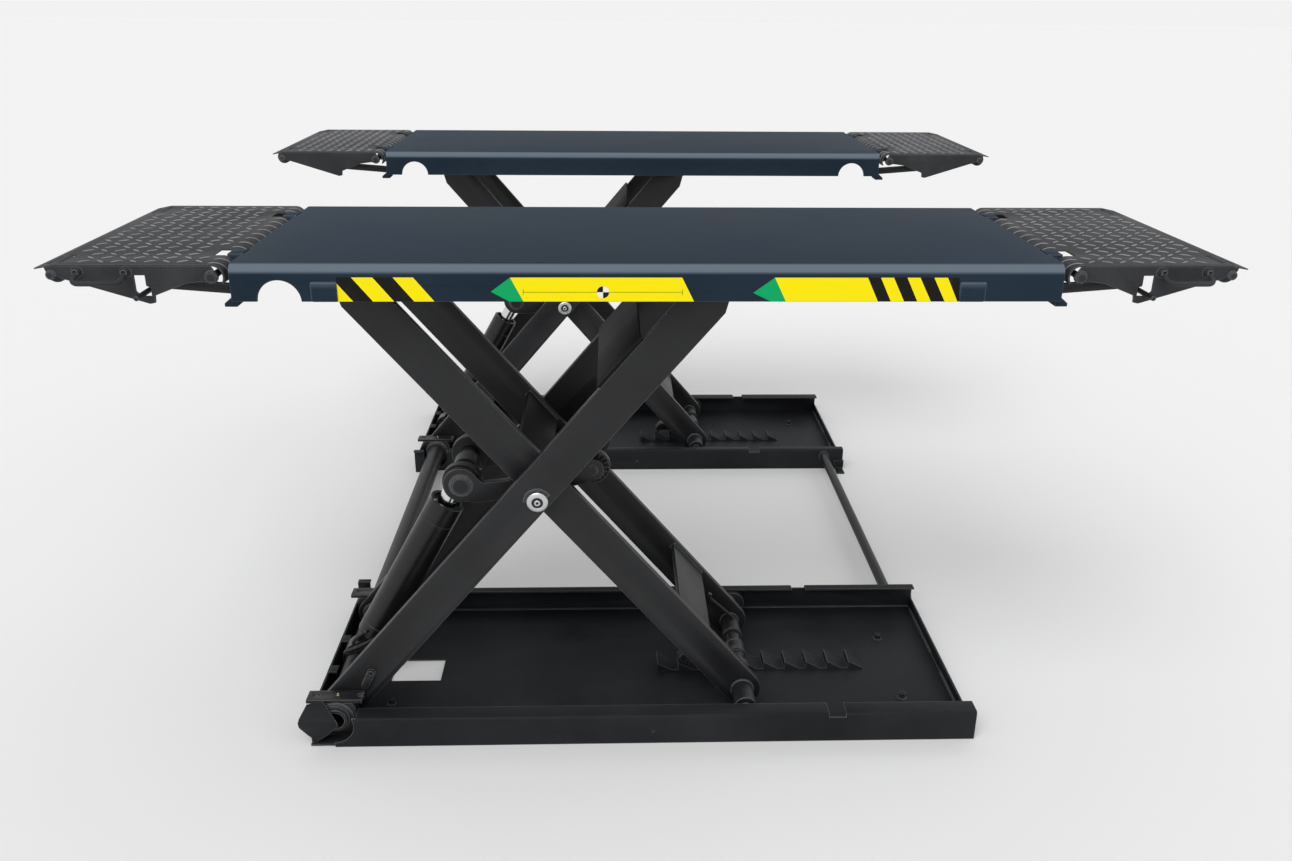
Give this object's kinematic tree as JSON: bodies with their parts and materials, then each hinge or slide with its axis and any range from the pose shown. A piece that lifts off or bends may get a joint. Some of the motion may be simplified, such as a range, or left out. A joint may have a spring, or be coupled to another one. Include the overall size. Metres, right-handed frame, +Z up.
{
  "type": "scissor car lift",
  "caption": "Short-rise scissor car lift, raised: twin platforms with hinged ramps on crossed arms, lifted by rockers and cylinders, joined by a torsion tube",
  "frame": {"origin": "on the floor, at the middle of the lift's overall length and width", "axes": "+X along the platforms, +Y from the near unit to the far unit, +Z up"},
  "size_m": [2.06, 2.016, 0.9962],
  "materials": {
    "deck_paint": "semi-gloss blue grey",
    "ramp_plate": "dark checker plate",
    "frame_coat": "satin black powder coat",
    "chrome_rod": "polished",
    "roller_polymer": "matte black"
  },
  "bodies": {
    "base": {"duct_pipe": "frame_coat", "near_base_tray": "frame_coat", "near_rail_outer": "frame_coat", "near_rail_inner": "frame_coat", "near_lock_rack": "frame_coat", "near_bearing_block_outer": "frame_coat", "near_bearing_block_inner": "frame_coat", "near_corner_guard": "frame_coat", "far_base_tray": "frame_coat", "far_rail_outer": "frame_coat", "far_rail_inner": "frame_coat", "far_lock_rack": "frame_coat", "far_bearing_block_outer": "frame_coat", "far_bearing_block_inner": "frame_coat", "far_corner_guard": "frame_coat"},
    "outer_arms": {"torsion_tube": "frame_coat", "near_outer_arm_front": "frame_coat", "near_outer_arm_rear": "frame_coat", "near_outer_cross_plate": "frame_coat", "far_outer_arm_front": "frame_coat", "far_outer_arm_rear": "frame_coat", "far_outer_cross_plate": "frame_coat"},
    "near_inner_arms": {"near_inner_arm_front": "frame_coat", "near_inner_arm_rear": "frame_coat", "near_inner_cross_plate_low": "frame_coat", "near_inner_cross_plate_high": "frame_coat"},
    "near_platform": {"near_deck": "deck_paint"},
    "near_carriage": {"near_bottom_axle": "frame_coat"},
    "near_pawl": {"near_lock_pawl": "frame_coat"},
    "near_rocker_frame": {"near_rocker": "frame_coat"},
    "near_rod": {"near_cylinder_rod": "chrome_rod"},
    "near_barrel": {"near_cylinder_barrel": "frame_coat"},
    "near_rocker_wheel_front_turn": {"near_rocker_wheel_front": "roller_polymer"},
    "near_rocker_wheel_rear_turn": {"near_rocker_wheel_rear": "roller_polymer"},
    "near_rocker_wheel_short_turn": {"near_rocker_wheel_short": "roller_polymer"},
    "near_top_roller_front_turn": {"near_top_roller_front": "roller_polymer"},
    "near_top_roller_rear_turn": {"near_top_roller_rear": "roller_polymer"},
    "near_ramp_left_flap": {"near_ramp_left": "ramp_plate"},
    "near_prop_left_stay": {"near_prop_left": "frame_coat"},
    "near_ramp_right_flap": {"near_ramp_right": "ramp_plate"},
    "near_prop_right_stay": {"near_prop_right": "frame_coat"},
    "far_inner_arms": {"far_inner_arm_front": "frame_coat", "far_inner_arm_rear": "frame_coat", "far_inner_cross_plate_low": "frame_coat", "far_inner_cross_plate_high": "frame_coat"},
    "far_platform": {"far_deck": "deck_paint"},
    "far_carriage": {"far_bottom_axle": "frame_coat"},
    "far_pawl": {"far_lock_pawl": "frame_coat"},
    "far_rocker_frame": {"far_rocker": "frame_coat"},
    "far_rod": {"far_cylinder_rod": "chrome_rod"},
    "far_barrel": {"far_cylinder_barrel": "frame_coat"},
    "far_rocker_wheel_front_turn": {"far_rocker_wheel_front": "roller_polymer"},
    "far_rocker_wheel_rear_turn": {"far_rocker_wheel_rear": "roller_polymer"},
    "far_rocker_wheel_short_turn": {"far_rocker_wheel_short": "roller_polymer"},
    "far_top_roller_front_turn": {"far_top_roller_front": "roller_polymer"},
    "far_top_roller_rear_turn": {"far_top_roller_rear": "roller_polymer"},
    "far_ramp_left_flap": {"far_ramp_left": "ramp_plate"},
    "far_prop_left_stay": {"far_prop_left": "frame_coat"},
    "far_ramp_right_flap": {"far_ramp_right": "ramp_plate"},
    "far_prop_right_stay": {"far_prop_right": "frame_coat"}
  },
  "joints": [
    {"name": "lift", "type": "hinge", "parent": "base", "child": "outer_arms", "pos_m": [-0.63, 0, 0.05], "axis": [0, 1, 0], "range_deg": [0, 49.5]},
    {"name": "near_centre_pivot", "type": "hinge", "parent": "outer_arms", "child": "near_inner_arms", "pos_m": [-0.21182, -0.695, 0.51345], "axis": [0, 1, 0], "range_deg": [-99, 0]},
    {"name": "near_platform_pivot", "type": "hinge", "parent": "near_inner_arms", "child": "near_platform", "pos_m": [-0.55479, -0.695, 0.9412], "axis": [0, 1, 0], "range_deg": [0, 49.5]},
    {"name": "near_carriage_pivot", "type": "hinge", "parent": "near_inner_arms", "child": "near_carriage", "pos_m": [0.20636, -0.695, 0.05], "axis": [0, 1, 0], "range_deg": [0, 49.5]},
    {"name": "near_pawl_pivot", "type": "hinge", "parent": "near_carriage", "child": "near_pawl", "pos_m": [0.20636, -0.695, 0.05], "axis": [0, 1, 0], "range_deg": [0, 15]},
    {"name": "near_rocker_pivot", "type": "hinge", "parent": "outer_arms", "child": "near_rocker_frame", "pos_m": [-0.21182, -0.695, 0.51345], "axis": [0, 1, 0], "range_deg": [-41, 0]},
    {"name": "near_rod_pivot", "type": "hinge", "parent": "near_rocker_frame", "child": "near_rod", "pos_m": [-0.37002, -0.695, 0.50635], "axis": [0, 1, 0], "range_deg": [0, 51.4]},
    {"name": "near_rod_slide", "type": "slide", "parent": "near_rod", "child": "near_barrel", "axis": [0.4883, 0, 0.8727], "range_m": [0, 0.0582]},
    {"name": "near_rocker_wheel_front_axle", "type": "hinge", "parent": "near_rocker_frame", "child": "near_rocker_wheel_front_turn", "pos_m": [-0.37002, -0.695, 0.50635], "axis": [0, 1, 0], "continuous": true},
    {"name": "near_rocker_wheel_rear_axle", "type": "hinge", "parent": "near_rocker_frame", "child": "near_rocker_wheel_rear_turn", "pos_m": [-0.37002, -0.695, 0.50635], "axis": [0, 1, 0], "continuous": true},
    {"name": "near_rocker_wheel_short_axle", "type": "hinge", "parent": "near_rocker_frame", "child": "near_rocker_wheel_short_turn", "pos_m": [-0.10732, -0.695, 0.53805], "axis": [0, 1, 0], "continuous": true},
    {"name": "near_top_roller_front_axle", "type": "hinge", "parent": "outer_arms", "child": "near_top_roller_front_turn", "pos_m": [0.13115, -0.695, 0.9412], "axis": [0, 1, 0], "continuous": true},
    {"name": "near_top_roller_rear_axle", "type": "hinge", "parent": "outer_arms", "child": "near_top_roller_rear_turn", "pos_m": [0.13115, -0.695, 0.9412], "axis": [0, 1, 0], "continuous": true},
    {"name": "near_ramp_left_hinge", "type": "hinge", "parent": "near_platform", "child": "near_ramp_left_flap", "pos_m": [-0.739, -0.695, 0.9735], "axis": [0, -1, 0], "range_deg": [0, 15.5]},
    {"name": "near_prop_left_hinge", "type": "hinge", "parent": "near_platform", "child": "near_prop_left_stay", "pos_m": [-0.702, -0.695, 0.9352], "axis": [0, -1, 0], "range_deg": [0, 8]},
    {"name": "near_ramp_right_hinge", "type": "hinge", "parent": "near_platform", "child": "near_ramp_right_flap", "pos_m": [0.739, -0.695, 0.9735], "axis": [0, 1, 0], "range_deg": [0, 15.5]},
    {"name": "near_prop_right_hinge", "type": "hinge", "parent": "near_platform", "child": "near_prop_right_stay", "pos_m": [0.702, -0.695, 0.9352], "axis": [0, 1, 0], "range_deg": [0, 8]},
    {"name": "far_centre_pivot", "type": "hinge", "parent": "outer_arms", "child": "far_inner_arms", "pos_m": [-0.21182, 0.695, 0.51345], "axis": [0, 1, 0], "range_deg": [-99, 0]},
    {"name": "far_platform_pivot", "type": "hinge", "parent": "far_inner_arms", "child": "far_platform", "pos_m": [-0.55479, 0.695, 0.9412], "axis": [0, 1, 0], "range_deg": [0, 49.5]},
    {"name": "far_carriage_pivot", "type": "hinge", "parent": "far_inner_arms", "child": "far_carriage", "pos_m": [0.20636, 0.695, 0.05], "axis": [0, 1, 0], "range_deg": [0, 49.5]},
    {"name": "far_pawl_pivot", "type": "hinge", "parent": "far_carriage", "child": "far_pawl", "pos_m": [0.20636, 0.695, 0.05], "axis": [0, 1, 0], "range_deg": [0, 15]},
    {"name": "far_rocker_pivot", "type": "hinge", "parent": "outer_arms", "child": "far_rocker_frame", "pos_m": [-0.21182, 0.695, 0.51345], "axis": [0, 1, 0], "range_deg": [-41, 0]},
    {"name": "far_rod_pivot", "type": "hinge", "parent": "far_rocker_frame", "child": "far_rod", "pos_m": [-0.37002, 0.695, 0.50635], "axis": [0, 1, 0], "range_deg": [0, 51.4]},
    {"name": "far_rod_slide", "type": "slide", "parent": "far_rod", "child": "far_barrel", "axis": [0.4883, 0, 0.8727], "range_m": [0, 0.0582]},
    {"name": "far_rocker_wheel_front_axle", "type": "hinge", "parent": "far_rocker_frame", "child": "far_rocker_wheel_front_turn", "pos_m": [-0.37002, 0.695, 0.50635], "axis": [0, 1, 0], "continuous": true},
    {"name": "far_rocker_wheel_rear_axle", "type": "hinge", "parent": "far_rocker_frame", "child": "far_rocker_wheel_rear_turn", "pos_m": [-0.37002, 0.695, 0.50635], "axis": [0, 1, 0], "continuous": true},
    {"name": "far_rocker_wheel_short_axle", "type": "hinge", "parent": "far_rocker_frame", "child": "far_rocker_wheel_short_turn", "pos_m": [-0.10732, 0.695, 0.53805], "axis": [0, 1, 0], "continuous": true},
    {"name": "far_top_roller_front_axle", "type": "hinge", "parent": "outer_arms", "child": "far_top_roller_front_turn", "pos_m": [0.13115, 0.695, 0.9412], "axis": [0, 1, 0], "continuous": true},
    {"name": "far_top_roller_rear_axle", "type": "hinge", "parent": "outer_arms", "child": "far_top_roller_rear_turn", "pos_m": [0.13115, 0.695, 0.9412], "axis": [0, 1, 0], "continuous": true},
    {"name": "far_ramp_left_hinge", "type": "hinge", "parent": "far_platform", "child": "far_ramp_left_flap", "pos_m": [-0.739, 0.695, 0.9735], "axis": [0, -1, 0], "range_deg": [0, 15.5]},
    {"name": "far_prop_left_hinge", "type": "hinge", "parent": "far_platform", "child": "far_prop_left_stay", "pos_m": [-0.702, 0.695, 0.9352], "axis": [0, -1, 0], "range_deg": [0, 8]},
    {"name": "far_ramp_right_hinge", "type": "hinge", "parent": "far_platform", "child": "far_ramp_right_flap", "pos_m": [0.739, 0.695, 0.9735], "axis": [0, 1, 0], "range_deg": [0, 15.5]},
    {"name": "far_prop_right_hinge", "type": "hinge", "parent": "far_platform", "child": "far_prop_right_stay", "pos_m": [0.702, 0.695, 0.9352], "axis": [0, 1, 0], "range_deg": [0, 8]}
  ],
  "couplings": [
    {"joint": "near_centre_pivot", "follows": "lift", "ratio": -2},
    {"joint": "near_platform_pivot", "follows": "lift", "ratio": 1},
    {"joint": "near_carriage_pivot", "follows": "lift", "ratio": 1},
    {"joint": "near_rocker_pivot", "follows": "lift", "ratio": -0.822},
    {"joint": "near_rod_pivot", "follows": "lift", "ratio": 1.0376},
    {"joint": "near_rod_slide", "follows": "lift", "m_per_rad": 0.06724},
    {"joint": "near_prop_left_hinge", "follows": "near_ramp_left_hinge", "ratio": 0.5},
    {"joint": "near_prop_right_hinge", "follows": "near_ramp_right_hinge", "ratio": 0.5},
    {"joint": "far_centre_pivot", "follows": "lift", "ratio": -2},
    {"joint": "far_platform_pivot", "follows": "lift", "ratio": 1},
    {"joint": "far_carriage_pivot", "follows": "lift", "ratio": 1},
    {"joint": "far_rocker_pivot", "follows": "lift", "ratio": -0.822},
    {"joint": "far_rod_pivot", "follows": "lift", "ratio": 1.0376},
    {"joint": "far_rod_slide", "follows": "lift", "m_per_rad": 0.06724},
    {"joint": "far_prop_left_hinge", "follows": "far_ramp_left_hinge", "ratio": 0.5},
    {"joint": "far_prop_right_hinge", "follows": "far_ramp_right_hinge", "ratio": 0.5}
  ]
}
